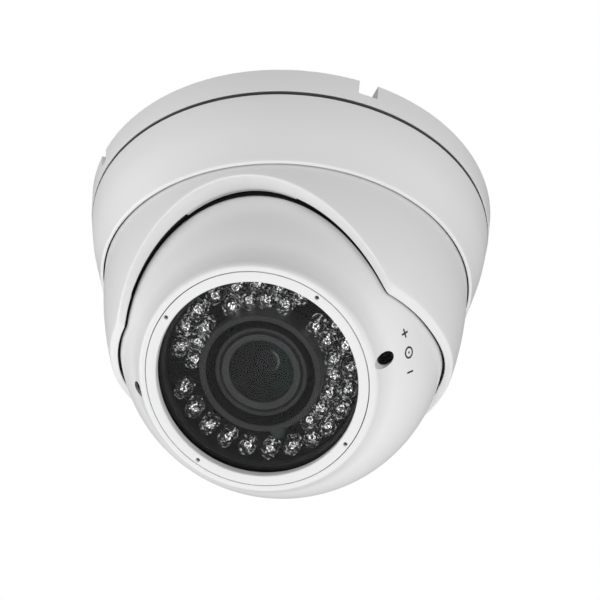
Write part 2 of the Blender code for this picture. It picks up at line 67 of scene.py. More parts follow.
WIPER_RADII = (49.35, 49.62)
WIPER_TAPER = 3.0
ARCH_HALF_ANGLE = 53.5
SHADED_ARCH_ANGLE = 45.0
ARCH_POWER = 0.55
NOTCH_ANGLES = (36.0, 131.0, 216.0, 310.0)
NOTCH_WIDTHS = (5.9, 5.9, 5.9, 3.8)
NOTCH_REACH = 6.6
NOTCH_HEIGHT = 5.1
INLET_POSITION = 45.0
RING_OUTER = 31.7
RING_INNER = 28.8
RING_FACE = 39.2
RING_SCREW_CIRCLE = 30.6
GLASS_TOP = 36.2
GLASS_THICKNESS = 2.0
HOOD_RADIUS = 17.6
HOOD_MOUTH_RADIUS = 15.9
HOOD_FACE = 33.7
BARREL_RADIUS = 13.3
FRONT_LENS_RADIUS = 9.1
FRONT_LENS_SPHERE = 38.3
FRONT_LENS_TOP = 32.6
PORT_DISTANCE = 36.0
PORT_RADIUS = 2.15
PORT_PAINT_DEPTH = 1.3
LAMP_RADIUS = 2.42
LAMP_FOOT = 24.4
LAMP_DOME_START = 30.1
LAMP_DOME_RISE = 2.5
LAMP_LEAN = 2.5
LED_SLOTS = 24
OUTER_LED_CIRCLE = 25.0
INNER_LED_CIRCLE = 20.3
OUTER_LED_START = 353.0
INNER_LED_START = 0.5
OUTER_EMPTY_PLACES = (12, 21)
INNER_EMPTY_PLACES = (5, 6, 7, 8, 9, 10, 11, 12, 16, 21)
FLOOR_HEIGHT = -1200.0

BALL = Matrix.Translation((0.0, 0.0, BALL_CENTRE)) @ Matrix.Rotation(
    math.radians(180.0 - REST_TILT), 4, "X"
)
WORLD = Matrix.Identity(4)


# ---------------------------------------------------------------- meshes


def new_piece(name, bm, material, place=WORLD, sharp=32.0):
    """Turn a bmesh in millimetres into a smooth-shaded object placed in the row frame."""
    bmesh.ops.remove_doubles(bm, verts=bm.verts, dist=1e-4)
    bmesh.ops.transform(bm, matrix=place, verts=bm.verts)
    bmesh.ops.scale(bm, vec=(MM, MM, MM), verts=bm.verts)
    bmesh.ops.recalc_face_normals(bm, faces=bm.faces)
    mesh = bpy.data.meshes.new(name)
    bm.to_mesh(mesh)
    bm.free()
    mesh.shade_smooth()
    mesh.set_sharp_from_angle(angle=math.radians(sharp))
    piece = bpy.data.objects.new(name, mesh)
    piece.data.materials.append(material)
    bpy.context.scene.collection.objects.link(piece)
    return piece


def softened(points, steps=4):
    """Closed outline of (radius, height) or (radius, height, softness) points, with soft corners."""
    outline = []
    for i, point in enumerate(points):
        here = Vector(point[:2])
        soft = point[2] if len(point) > 2 else 0.0
        before = Vector(points[i - 1][:2]) - here
        after = Vector(points[(i + 1) % len(points)][:2]) - here
        reach = min(soft, 0.49 * before.length, 0.49 * after.length)
        if reach < 1e-4:
            outline.append(tuple(here))
            continue
        start = here + before.normalized() * reach
        end = here + after.normalized() * reach
        for k in range(steps + 1):
            t = k / steps
            at = start * (1 - t) ** 2 + here * 2 * t * (1 - t) + end * t * t
            outline.append(tuple(at))
    return outline


def add_turned(bm, outline, sides, place=WORLD):
    """Spin a closed outline about Z into a closed surface."""
    rings = []
    for radius, height in outline:
        if radius < 1e-6:
            rings.append([bm.verts.new(place @ Vector((0.0, 0.0, height)))])
            continue
        ring = []
        for i in range(sides):
            angle = 2.0 * math.pi * i / sides
            point = Vector((radius * math.cos(angle), radius * math.sin(angle), height))
            ring.append(bm.verts.new(place @ point))
        rings.append(ring)
    for low, high in zip(rings, rings[1:] + rings[:1]):
        if len(low) == 1 and len(high) == 1:
            continue
        for i in range(sides):
            j = (i + 1) % sides
            corners = [low[i % len(low)], low[j % len(low)], high[j % len(high)], high[i % len(high)]]
            corners = list(dict.fromkeys(corners))
            if len(corners) > 2:
                bm.faces.new(corners)


def turned(name, points, sides, material, place=WORLD, sharp=32.0):
    """Piece turned about Z from a closed outline with soft corners."""
    bm = bmesh.new()
    add_turned(bm, softened(points), sides)
    return new_piece(name, bm, material, place, sharp)


def lofted(name, columns, material, sharp=32.0):
    """Closed ring made of equal outlines, joined one to the next."""
    bm = bmesh.new()
    grid = [[bm.verts.new(point) for point in column] for column in columns]
    for left, right in zip(grid, grid[1:] + grid[:1]):
        for i in range(len(left)):
            bm.faces.new((left[i - 1], left[i], right[i], right[i - 1]))
    return new_piece(name, bm, material, WORLD, sharp)


def soft_box(name, low, high, radius, material, place=WORLD):
    """Box between two corners, with rounded edges."""
    bm = bmesh.new()
    bmesh.ops.create_cube(bm, size=1.0)
    low, high = Vector(low), Vector(high)
    bmesh.ops.scale(bm, vec=high - low, verts=bm.verts)
    bmesh.ops.translate(bm, vec=(low + high) / 2.0, verts=bm.verts)
    if radius:
        bmesh.ops.bevel(
            bm,
            geom=list(bm.edges),
            offset=radius,
            segments=3,
            profile=0.5,
            affect="EDGES",
        )
    return new_piece(name, bm, material, place)


def rod(name, start, end, radius, material, place=WORLD, sides=32):
    """Straight round bar between two points."""
    start, end = Vector(start), Vector(end)
    turn = (end - start).to_track_quat("Z", "Y").to_matrix().to_4x4()
    length = (end - start).length
    points = [(0.0, 0.0), (radius, 0.0), (radius, length), (0.0, length)]
    return turned(name, points, sides, material, place @ Matrix.Translation(start) @ turn)


def arc(radius, first_height, last_height, steps):
    """Points (radius, height) on a ball about the origin, from one height to another."""
    first = math.acos(first_height / radius)
    last = math.acos(last_height / radius)
    angles = [first + (last - first) * i / steps for i in range(steps + 1)]
    return [(radius * math.sin(a), radius * math.cos(a)) for a in angles]


def cap(sphere, edge_radius, top, steps):
    """Outline of a lens face, from its edge to its top on the axis."""
    edge = math.asin(edge_radius / sphere)
    angles = [edge * (1.0 - i / steps) for i in range(steps + 1)]
    return [(sphere * math.sin(a), top - sphere * (1.0 - math.cos(a))) for a in angles]


def around(radius, degrees, height=0.0):
    """Point on a circle about Z."""
    angle = math.radians(degrees)
    return Vector((radius * math.cos(angle), radius * math.sin(angle), height))


def carve(piece, *tools, sharp=32.0):
    """Cut the tools out of the piece for good, and remove them."""
    for tool in tools:
        modifier = piece.modifiers.new("cut", "BOOLEAN")
        modifier.operation = "DIFFERENCE"
        modifier.solver = "EXACT"
        modifier.object = tool
    bpy.context.view_layer.update()
    graph = bpy.context.evaluated_depsgraph_get()
    mesh = bpy.data.meshes.new_from_object(piece.evaluated_get(graph))
    piece.modifiers.clear()
    piece.data = mesh
    mesh.name = piece.name
    mesh.shade_smooth()
    mesh.set_sharp_from_angle(angle=math.radians(sharp))
    for tool in tools:
        bpy.data.objects.remove(tool, do_unlink=True)
    return piece


def paint_inside(piece, material, is_inside):
    """Give a second material to the faces whose centres pass the test; here it paints shade dark on
    inner faces.
    """
    piece.data.materials.append(material)
    for face in piece.data.polygons:
        face.material_index = 1 if is_inside(face.center / MM) else 0


def stand_for(piece, body, slot, *nodes):
    """Let the piece ride on a body, in place of CAD nodes. The slot argument is not used."""
    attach(piece, body)
    if nodes:
        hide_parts(*nodes)
    return piece


# ---------------------------------------------------------------- materials


class Look:
    """A Principled material whose varying inputs come from procedural nodes."""

    def __init__(self, name, colour, roughness, **sockets):
        self.material = bpy.data.materials.new(name)
        self.material.use_nodes = True
        self.tree = self.material.node_tree
        self.shader = self.tree.nodes["Principled BSDF"]
        self.shader.inputs["Base Color"].default_value = (*colour, 1.0)
        self.shader.inputs["Roughness"].default_value = roughness
        for socket, value in sockets.items():
            self.shader.inputs[socket.replace("_", " ")].default_value = value
        self.place = self.tree.nodes.new("ShaderNodeTexCoord").outputs["Object"]
        self.colour = colour
        self.height = None

    def node(self, kind, **settings):
        made = self.tree.nodes.new(kind)
        for key, value in settings.items():
            setattr(made, key, value)
        return made

    def link(self, source, target):
        self.tree.links.new(source, target)

    def noise(self, scale, detail=2.0, roughness=0.5, stretch=None):
        made = self.node("ShaderNodeTexNoise")
        made.inputs["Scale"].default_value = scale
        made.inputs["Detail"].default_value = detail
        made.inputs["Roughness"].default_value = roughness
        source = self.place
        if stretch:
            mapping = self.node("ShaderNodeMapping")
            mapping.inputs["Scale"].default_value = stretch
            self.link(source, mapping.inputs["Vector"])
            source = mapping.outputs["Vector"]
        self.link(source, made.inputs["Vector"])
        return made.outputs["Fac"]

    def ranged(self, source, low, high, start=0.3, stop=0.7):
        """Map a source that varies from start to stop onto low to high."""
        made = self.node("ShaderNodeMapRange")
        made.inputs["From Min"].default_value = start
        made.inputs["From Max"].default_value = stop
        made.inputs["To Min"].default_value = low
        made.inputs["To Max"].default_value = high
        self.link(source, made.inputs["Value"])
        return made.outputs["Result"]

    def tint(self, source, other, start=0.3, stop=0.7, amount=1.0):
        """Mix the colour so far with another one, by a varying source."""
        mixed = self.node("ShaderNodeMix", data_type="RGBA")
        self.link(self.ranged(source, 0.0, amount, start, stop), mixed.inputs["Factor"])
        base = self.shader.inputs["Base Color"]
        if base.is_linked:
            self.link(base.links[0].from_socket, mixed.inputs["A"])
        else:
            mixed.inputs["A"].default_value = (*self.colour, 1.0)
        mixed.inputs["B"].default_value = (*other, 1.0)
        self.link(mixed.outputs["Result"], base)
        return self

    def gloss(self, source, low, high, start=0.3, stop=0.7):
        self.link(self.ranged(source, low, high, start, stop), self.shader.inputs["Roughness"])
        return self

    def bump(self, source, distance, strength=1.0):
        made = self.node("ShaderNodeBump")
        made.inputs["Distance"].default_value = distance
        made.inputs["Strength"].default_value = strength
        self.link(source, made.inputs["Height"])
        normal = self.shader.inputs["Normal"]
        if normal.is_linked:
            self.link(normal.links[0].from_socket, made.inputs["Normal"])
        self.link(made.outputs["Normal"], normal)
        return self


def painted(name, colour, shade):
    """Satin powder coat with a fine orange peel."""
    look = Look(name, colour, 0.34, Coat_Weight=0.12, Coat_Roughness=0.12)
    look.shader.inputs["Specular IOR Level"].default_value = 0.45
    look.tint(look.noise(28.0, 3.0), shade, 0.35, 0.7, 0.6)
    look.tint(look.noise(2600.0, 1.0), shade, 0.55, 0.8, 0.35)
    look.gloss(look.noise(60.0, 3.0), 0.30, 0.40)
    look.bump(look.noise(900.0, 2.0), 0.000012)
    look.bump(look.noise(3200.0, 1.0), 0.000006)
    return look.material


def moulded(name, colour, roughness, grain=1800.0, depth=0.00003, light=None, **sockets):
    """Moulded or coated surface with a fine grain."""
    look = Look(name, colour, roughness, **sockets)
    other = light or tuple(min(1.0, c * 1.35 + 0.004) for c in colour)
    look.tint(look.noise(90.0, 3.0), other, 0.4, 0.75, 0.5)
    look.gloss(look.noise(240.0, 2.0), roughness - 0.06, roughness + 0.08)
    look.bump(look.noise(grain, 2.0), depth)
    return look.material


def rim_with_painted_highlight(name, colour, level):
    """Bright metal edge with a painted highlight: it glows on its +X side only."""
    look = Look(name, colour, 0.25, Metallic=1.0)
    axes = look.node("ShaderNodeSeparateXYZ")
    look.link(look.place, axes.inputs["Vector"])
    look.tint(look.noise(400.0, 2.0), tuple(c * 0.8 for c in colour))
    # Painted highlight: emission grows along +X, where the rim would catch light.
    look.shader.inputs["Emission Color"].default_value = (1.0, 1.0, 1.0, 1.0)
    strength = look.ranged(axes.outputs["X"], 0.0, level, 0.0012, 0.0032)
    look.link(strength, look.shader.inputs["Emission Strength"])
    return look.material


def plated(name, colour, roughness):
    """Plated steel with fine turning streaks."""
    look = Look(name, colour, roughness, Metallic=1.0)
    streaks = (1.0, 1.0, 12.0)
    look.tint(look.noise(400.0, 2.0), tuple(c * 0.72 for c in colour), 0.45, 0.8, 0.6)
    look.gloss(look.noise(700.0, 2.0, stretch=streaks), roughness - 0.08, roughness + 0.12)
    look.bump(look.noise(1500.0, 2.0, stretch=streaks), 0.00001)
    return look.material


def circuit(name):
    """Black solder mask with faint copper runs and pads under it."""
    look = Look(name, (0.005, 0.005, 0.006), 0.5, Specular_IOR_Level=0.05)
    cells = look.node("ShaderNodeTexVoronoi", feature="DISTANCE_TO_EDGE")
    cells.inputs["Scale"].default_value = 420.0
    look.link(look.place, cells.inputs["Vector"])
    look.tint(cells.outputs["Distance"], (0.012, 0.014, 0.013), 0.10, 0.02)
    look.gloss(look.noise(500.0, 2.0), 0.34, 0.52)
    look.bump(cells.outputs["Distance"], 0.00003, 0.4)
    return look.material


def lamp_body(name):
    """Clear epoxy seen from outside, mostly see-through, with painted highlights: glowing near-white
    patches stand in for what it refracts.
    """
    look = Look(name, (0.16, 0.16, 0.165), 0.08, IOR=1.5)
    painted_highlight_noise = look.noise(800.0, 2.0, 0.6)
    # Painted highlights: near-white patches that also glow. The same noise sets the see-through alpha.
    look.tint(painted_highlight_noise, (0.95, 0.96, 0.97), 0.56, 0.68)
    look.link(look.ranged(painted_highlight_noise, 0.10, 0.75, 0.48, 0.66), look.shader.inputs["Alpha"])
    look.shader.inputs["Emission Color"].default_value = (0.95, 0.97, 1.0, 1.0)
    look.link(look.ranged(painted_highlight_noise, 0.0, 0.8, 0.60, 0.70), look.shader.inputs["Emission Strength"])
    look.gloss(look.noise(700.0, 2.0), 0.04, 0.14)
    look.bump(look.noise(1500.0, 2.0), 0.0004)
    return look.material


def lamp_metal(name):
    """Plated cup and leads, with painted glints: small irregular spots glow."""
    look = Look(name, (0.55, 0.55, 0.54), 0.2, Metallic=1.0)
    look.tint(look.noise(1500.0, 2.0), (0.08, 0.08, 0.08), 0.45, 0.60)
    look.gloss(look.noise(900.0, 2.0), 0.12, 0.30)
    # Painted glints: emission in small noise spots.
    glint = look.ranged(look.noise(1700.0, 2.0), 0.0, 2.6, 0.51, 0.64)
    look.shader.inputs["Emission Color"].default_value = (1.0, 1.0, 0.98, 1.0)
    look.link(glint, look.shader.inputs["Emission Strength"])
    return look.material


def tinted_pane(name, colour, alpha, roughness):
    """Polished dark pane that shows what lies behind it."""
    look = Look(name, colour, roughness, Alpha=alpha, IOR=1.52)
    look.tint(look.noise(35.0, 2.0), tuple(c * 1.3 for c in colour))
    look.gloss(look.noise(120.0, 2.0), roughness, roughness + 0.03)
    return look.material


def lens_coat(name):
    """Dark multicoated glass: grey over most of it, with a green cast painted on its +X side as a
    painted reflection of the coating.
    """
    look = Look(name, (0.010, 0.011, 0.011), 0.05, Alpha=0.55, IOR=1.36)
    axes = look.node("ShaderNodeSeparateXYZ")
    look.link(look.place, axes.inputs["Vector"])
    # Painted reflection: a green cast along +X.
    look.tint(axes.outputs["X"], (0.010, 0.044, 0.030), 0.001, 0.008)
    look.gloss(look.noise(300.0, 2.0), 0.04, 0.09)
    return look.material


def violet(name):
    """Inner lens with a faint violet coating, and a faint violet glow painted on as its reflection."""
    look = Look(name, (0.050, 0.044, 0.056), 0.08, Coat_Weight=0.5)
    # Painted reflection: a faint violet glow.
    look.shader.inputs["Emission Color"].default_value = (0.55, 0.40, 0.62, 1.0)
    look.shader.inputs["Emission Strength"].default_value = 0.05
    look.tint(look.noise(260.0, 2.0), (0.030, 0.034, 0.034))
    look.gloss(look.noise(300.0, 2.0), 0.06, 0.12)
    return look.material


white = painted("white_paint", (0.785, 0.785, 0.787), (0.76, 0.76, 0.762))
# Near black: painted shade on inner faces, and the real black of the lens baffle.
black_and_painted_shade = moulded("black_and_painted_shade_inside", (0.010, 0.010, 0.011), 0.6)
# Near-black rubber: the dust wiper, and painted shade on the hood's inner wall.
rubber_and_painted_shade = moulded("rubber_and_painted_shade", (0.006, 0.006, 0.006), 0.8, 1200.0, 0.00004, Specular_IOR_Level=0.1)
seal_grey = moulded("seal_grey", (0.035, 0.035, 0.036), 0.7, 1200.0, 0.00004)
rubber = moulded("black_rubber", (0.028, 0.028, 0.029), 0.62, 1200.0, 0.00006)
hood_rubber = moulded("hood_rubber", (0.040, 0.041, 0.042), 0.38, 900.0, 0.00003)
lens_black = moulded("lens_black", (0.034, 0.035, 0.037), 0.36, 2200.0, 0.00001)
lens_bright = moulded("lens_front_ring", (0.058, 0.060, 0.063), 0.33, 2200.0, 0.00001)
inner_rim_painted_highlight = rim_with_painted_highlight("inner_rim_painted_highlight", (0.42, 0.42, 0.42), 0.5)
dark_plastic = moulded("dark_plastic", (0.030, 0.030, 0.032), 0.5)
nylon = moulded("natural_nylon", (0.62, 0.60, 0.55), 0.5, 1400.0, 0.00004, (0.68, 0.66, 0.60))
steel = plated("plated_steel", (0.55, 0.56, 0.58), 0.3)
dark_steel = plated("blackened_steel", (0.10, 0.10, 0.11), 0.35)
cup_metal = lamp_metal("lead_frame")
board = circuit("circuit_board")
epoxy = lamp_body("clear_epoxy")
pane = tinted_pane("window_pane", (0.004, 0.004, 0.005), 0.2, 0.02)
die = moulded("lamp_die", (0.05, 0.045, 0.055), 0.3)
photocell_face = moulded(
    "photocell_face", (0.045, 0.085, 0.075), 0.3, 2500.0, 0.00002, (0.10, 0.15, 0.13)
)
lens_glass = lens_coat("lens_coating")
violet_glass = violet("violet_coat_and_painted_glow")
ink = moulded("printed_ink", (0.012, 0.012, 0.013), 0.45)


# ---------------------------------------------------------------- base and cover


def build_base():
    """Round base with a deep spigot, edge notches, screw holes and the cable hole."""
    base = turned(
        "base_housing",
        [
            (0.0, 0.0),
            (BASE_RADIUS, 0.0, 0.6),
            (BASE_RADIUS - 0.8, -FLANGE_DEPTH, 0.05),
            (57.6, -FLANGE_DEPTH, 0.2),
            (57.6, SPIGOT_BOTTOM, 0.3),
            (54.6, SPIGOT_BOTTOM, 0.3),
            (54.6, -FLOOR_THICKNESS, 0.8),
            (0.0, -FLOOR_THICKNESS),
        ],
        256,
        white,
    )
    tools = []
    for degrees, width in zip(NOTCH_ANGLES, NOTCH_WIDTHS):
        turn = Matrix.Rotation(math.radians(degrees), 4, "Z")
        low = (-width / 2.0, -BASE_RADIUS - 2.0, -NOTCH_HEIGHT)
        high = (width / 2.0, -BASE_RADIUS + NOTCH_REACH, 4.0)
        tools.append(soft_box(f"notch_tool_{degrees:.0f}", low, high, 0.4, white, turn))
    for i in range(3):
        place = Matrix.Translation(around(MOUNT_HOLE_CIRCLE, 30.0 + 120.0 * i))
        wide = MOUNT_HOLE_RADIUS + 0.6
        sink = [(0.0, -5.0), (MOUNT_HOLE_RADIUS, -5.0), (MOUNT_HOLE_RADIUS, -0.5)]
        sink += [(wide, 0.1), (wide, 1.0), (0.0, 1.0)]
        tools.append(turned(f"hole_tool_{i}", sink, 48, white, place))
    inlet = [(0.0, -5.0), (7.0, -5.0), (7.0, -0.3), (7.4, 0.1), (7.4, 1.0), (0.0, 1.0)]
    place = Matrix.Translation((0.0, INLET_POSITION, 0.0))
    tools.append(turned("inlet_tool", inlet, 64, white, place))
    carve(base, *tools)
    stand_for(base, "base", "white_paint", "base_plate")

    grommet = turned(
        "cable_inlet_grommet",
        [
            (3.8, -0.3, 0.5),
            (6.7, -0.3, 0.3),
            (6.7, -2.8),
            (9.4, -2.8, 0.4),
            (9.0, -4.8, 0.5),
            (5.4, -6.5, 0.5),
            (3.8, -6.5, 0.3),
        ],
        64,
        rubber,
        place,
    )
    stand_for(grommet, "base", "black_rubber", "cable_grommet")


def build_cover():
    """Trim ring between the flange and the collar."""
    top = -FLANGE_DEPTH - SEAM_GAP
    cover = turned(
        "cover_housing",
        [
            (62.5, top, 0.1),
            (62.8, top - 0.3, 0.12),
            (62.3, -13.0, 1.6),
            (61.3, -18.0, 2.2),
            (59.8, -23.0, 2.2),
            (58.3, -27.6, 1.6),
            (57.35, -30.75, 0.2),
            (56.85, COVER_BOTTOM, 0.15),
            (COVER_BORE, COVER_BOTTOM + 0.05, 0.05),
            (COVER_BORE, -29.9),
            (55.7, -29.9, 0.1),
            (55.7, -28.5, 0.1),
            (57.4, -28.5, 0.1),
            (57.4, -24.0, 0.2),
            (57.9, -23.0, 0.2),
            (57.9, top),
            (59.0, top),
            (59.0, top - 1.2),
            (61.0, top - 1.2),
            (61.0, top),
        ],
        256,
        white,
    )
    height = -16.0
    hole = rod("lock_tool", (0.0, 54.0, height), (0.0, 70.0, height), 1.9, white)
    carve(cover, hole)
    # Painted shade: the bore faces in the seam above the collar are painted black.
    paint_inside(cover, black_and_painted_shade, lambda at: math.hypot(at.x, at.y) < COVER_BORE + 0.05)
    stand_for(cover, "base", "white_paint", "cover_ring")

    screw_place = Matrix.Translation((0.0, 58.0, height)) @ Matrix.Rotation(-math.pi / 2.0, 4, "X")
    screw = turned(
        "lock_screw_head",
        [(0.0, 0.0), (1.6, 0.0), (1.6, 3.1, 0.25), (0.8, 3.1), (0.8, 1.6), (0.0, 1.6)],
        48,
        dark_steel,
        screw_place,
    )
    stand_for(screw, "base", "steel", "cover_lock_screw")

    seal = turned(
        "flange_seal",
        [
            (59.3, top + SEAM_GAP - 0.15, 0.1),
            (62.9, top + SEAM_GAP - 0.15, 0.1),
            (62.9, top + 0.15, 0.1),
            (60.7, top + 0.15, 0.1),
            (60.7, top - 0.8, 0.2),
            (59.3, top - 0.8, 0.2),
        ],
        256,
        seal_grey,
    )
    stand_for(seal, "base", "black_rubber", "cover_seal")


# ---------------------------------------------------------------- collar


def arch_rise(azimuth):
    """One at the top of the front arch, falling to zero at the cheeks."""
    if abs(azimuth) > ARCH_HALF_ANGLE:
        return 0.0
    return ((1.0 + math.cos(math.pi * azimuth / ARCH_HALF_ANGLE)) / 2.0) ** ARCH_POWER


def lip_height(azimuth, heights):
    """Height of the lip at an angle from the front, in degrees."""
    arch, side, back = heights
    way = min(1.0, max(0.0, abs(azimuth) - 75.0) / 50.0)
    behind = way * way * (3.0 - 2.0 * way)
    return side + (arch - side) * arch_rise(azimuth) + (back - side) * behind


def collar_outside(height):
    """Radius of the collar's outside, leaning in and curving in below its neck."""
    below = max(0.0, -30.0 - height)
    return COLLAR_RADIUS - COLLAR_LEAN * below - COLLAR_CURVE * below * below


def socket_inside(height):
    """Radius of the socket about the ball at a height."""
    return math.sqrt(SOCKET_RADIUS**2 - (height - BALL_CENTRE) ** 2)


def collar_outline(azimuth):
    """Fine section of the collar at one azimuth."""
    outer = lip_height(azimuth, LIP_OUTER)
    inner = lip_height(azimuth, LIP_INNER)
    points = [(46.9, COLLAR_TOP, 0.3), (57.1, COLLAR_TOP, 0.3), (57.1, -28.2, 0.3)]
    points += [(COLLAR_RADIUS - 0.6, -28.2, 0.1), (COLLAR_RADIUS - 0.6, NECK_BOTTOM)]
    wall_top = NECK_BOTTOM - 0.2
    points.append((COLLAR_RADIUS, wall_top, 0.1))
    steps = 10
    round_start = outer + 1.4
    for i in range(1, steps + 1):
        height = wall_top + (round_start - wall_top) * i / steps
        points.append((collar_outside(height), height))
    edge = collar_outside(outer)
    points.append((edge, outer + 0.15, 0.7))
    inner_edge = socket_inside(inner) + LIP_FLARE * arch_rise(azimuth)
    points.append((inner_edge + 0.15, inner - 0.2, 0.2))
    points.append((inner_edge, inner + 0.1))
    inside = 16
    start = inner + 0.5
    for i in range(inside + 1):
        height = start + (NECK_BOTTOM - start) * i / inside
        points.append((socket_inside(height), height))
    return softened(points)


def in_collar_shade(at):
    """Painted shade mask: true on the neck, and on the socket wall under the arch."""
    on_socket = (at - Vector((0.0, 0.0, BALL_CENTRE))).length < SOCKET_RADIUS + 0.45
    azimuth = math.degrees(math.atan2(at.x, -at.y))
    return at.z > NECK_BOTTOM - 0.15 or (on_socket and abs(azimuth) < SHADED_ARCH_ANGLE)


def build_collar():
    """Swivel collar with the front arch, and the two slots that take the pivot pins."""
    columns = []
    count = 320
    for i in range(count):
        azimuth = -180.0 + 360.0 * i / count
        angle = math.radians(azimuth)
        columns.append(
            [(r * math.sin(angle), -r * math.cos(angle), z) for r, z in collar_outline(azimuth)]
        )
    collar = lofted("swivel_collar", columns, white)
    tools = []
    for side in (-1.0, 1.0):
        low = (min(side * 44.0, side * 52.4), -2.9, BALL_CENTRE)
        high = (max(side * 44.0, side * 52.4), 2.9, -20.0)
        tools.append(soft_box(f"slot_tool_{side:+.0f}", low, high, 0.0, white))
        start = (side * 44.0, 0.0, BALL_CENTRE)
        end = (side * 52.4, 0.0, BALL_CENTRE)
        tools.append(rod(f"seat_tool_{side:+.0f}", start, end, 2.9, white))
    carve(collar, *tools)
    # Painted shade: the neck and the socket wall under the arch are painted black.
    paint_inside(collar, black_and_painted_shade, in_collar_shade)
    stand_for(collar, "pan", "white_paint", "pan_collar")


def build_wiper():
    """Thin rubber strip between the collar and the ball, showing only under the arch, where it drops
    lower and stands in, near black, for the shadow in the gap.
    """
    columns = []
    count = 320
    for i in range(count):
        azimuth = -180.0 + 360.0 * i / count
        angle = math.radians(azimuth)
        showing = arch_rise(azimuth) ** WIPER_TAPER
        low = lip_height(azimuth, LIP_INNER) + 0.5 - (0.5 + WIPER_DROP) * showing
        high = low + WIPER_DEPTH
        column = []
        for radius, height in (
            (WIPER_RADII[0], low),
            (WIPER_RADII[1], low),
            (WIPER_RADII[1], high),
            (WIPER_RADII[0], high),
        ):
            across = math.sqrt(radius**2 - (height - BALL_CENTRE) ** 2)
            column.append((across * math.sin(angle), -across * math.cos(angle), height))
        columns.append(column)
    strip = lofted("dust_wiper_strip", columns, rubber_and_painted_shade)
    stand_for(strip, "pan", "black_rubber", "dust_wiper")


def build_gimbal():
    """Band about the ball, on two steel pins."""
    ring = turned(
        "gimbal_band",
        arc(BALL_RADIUS, 3.6, -5.0, 14) + [(43.4, -5.0, 0.2), (43.4, 3.6, 0.2)],
        192,
        white,
        BALL,
    )
    tools = [
        rod(f"pin_tool_{side:+.0f}", (side * 41.0, 0, 0), (side * 53.0, 0, 0), 2.6, white, BALL)
        for side in (-1.0, 1.0)
    ]
    carve(ring, *tools)
    stand_for(ring, "tilt", "white_paint", "gimbal_ring")
    for side, node in ((-1.0, "pivot_pin_left"), (1.0, "pivot_pin_right")):
        turn = Matrix.Translation((side * 43.8, 0.0, 0.0))
        turn = turn @ Matrix.Rotation(side * math.pi / 2.0, 4, "Y")
        pin = turned(
            f"{node}_shaft",
            [(0.0, 0.0), (2.3, 0.0, 0.3), (2.3, 8.3, 0.3), (0.0, 8.3)],
            48,
            steel,
            BALL @ turn,
        )
        stand_for(pin, "tilt", "steel", node)


# ---------------------------------------------------------------- eyeball


def in_shell_shade(at):
    """Painted shade mask: true inside the front shell, on the window's seat and deep in the two ports.
    """
    at = BALL.inverted() @ at
    across = math.hypot(at.x, at.y)
    inner_wall = at.length < SHELL_INNER_RADIUS + 0.5 and at.z < 32.0 and across < 46.6
    window_seat = across < RING_OUTER - 0.2 and at.z < RING_FACE - 0.2
    from_port = math.hypot(abs(at.x) - PORT_DISTANCE, at.y)
    deep_in_port = from_port < PORT_RADIUS + 0.1 and at.length < BALL_RADIUS - PORT_PAINT_DEPTH
    return inner_wall or window_seat or deep_in_port


def in_hood_shade(at):
    """Painted shade mask: true on the hood's inner wall."""
    at = BALL.inverted() @ at
    return math.hypot(at.x, at.y) < HOOD_MOUTH_RADIUS - 0.3


def build_front_shell():
    """White half of the ball, with the soft raised rim that holds the window ring."""
    points = arc(BALL_RADIUS, 3.9, 31.5, 44)
    points += [
        (36.4, 33.4, 1.6),
        (34.9, 36.2, 1.4),
        (34.1, 38.2, 0.9),
        (33.3, 39.15, 0.5),
        (RING_OUTER + 0.25, 39.15, 0.1),
        (RING_OUTER + 0.25, 36.3),
        (29.7, 36.3),
        (29.7, 33.0),
        (27.9, 33.0),
        (27.9, 31.0),
    ]
    points += arc(SHELL_INNER_RADIUS, 31.0, 7.0, 12)
    points += [(40.8, 7.0), (40.8, -4.9), (43.1, -4.9), (43.1, 3.9)]
    shell = turned("eyeball_front", points, 256, white, BALL)
    tools = []
    for side in (-1.0, 1.0):
        place = BALL @ Matrix.Translation((side * PORT_DISTANCE, 0.0, 0.0))
        wall = [(PORT_RADIUS, 26.0 + 0.4 * i) for i in range(36)]
        bore = [(0.0, 26.0)] + wall + [(PORT_RADIUS, 44.0), (0.0, 44.0)]
        tools.append(turned(f"port_tool_{side:+.0f}", bore, 64, white, place))
    carve(shell, *tools)
    # Painted shade: the shell's inside, the window seat and the depths of the ports are painted black.
    paint_inside(shell, black_and_painted_shade, in_shell_shade)
    stand_for(shell, "eyeball", "white_paint", "front_shell")

    rear = turned(
        "eyeball_rear",
        [(42.6, -5.3, 0.4)]
        + arc(44.4, -5.3, -36.0, 24)
        + [(4.4, -36.0), (4.4, -33.8)]
        + arc(42.2, -33.8, -7.0, 16)
        + [(42.6, -7.0)],
        160,
        white,
        BALL,
    )
    stand_for(rear, "eyeball", "white_paint", "rear_shell")
    gland = turned(
        "rear_cable_gland",
        [
            (2.4, -38.6, 0.3),
            (4.4, -38.6, 0.5),
            (6.8, -37.4, 0.4),
            (6.8, -36.3),
            (4.1, -36.3),
            (4.1, -33.2),
            (2.4, -33.2),
        ],
        48,
        rubber,
        BALL,
    )
    stand_for(gland, "eyeball", "black_rubber", "rear_gland")


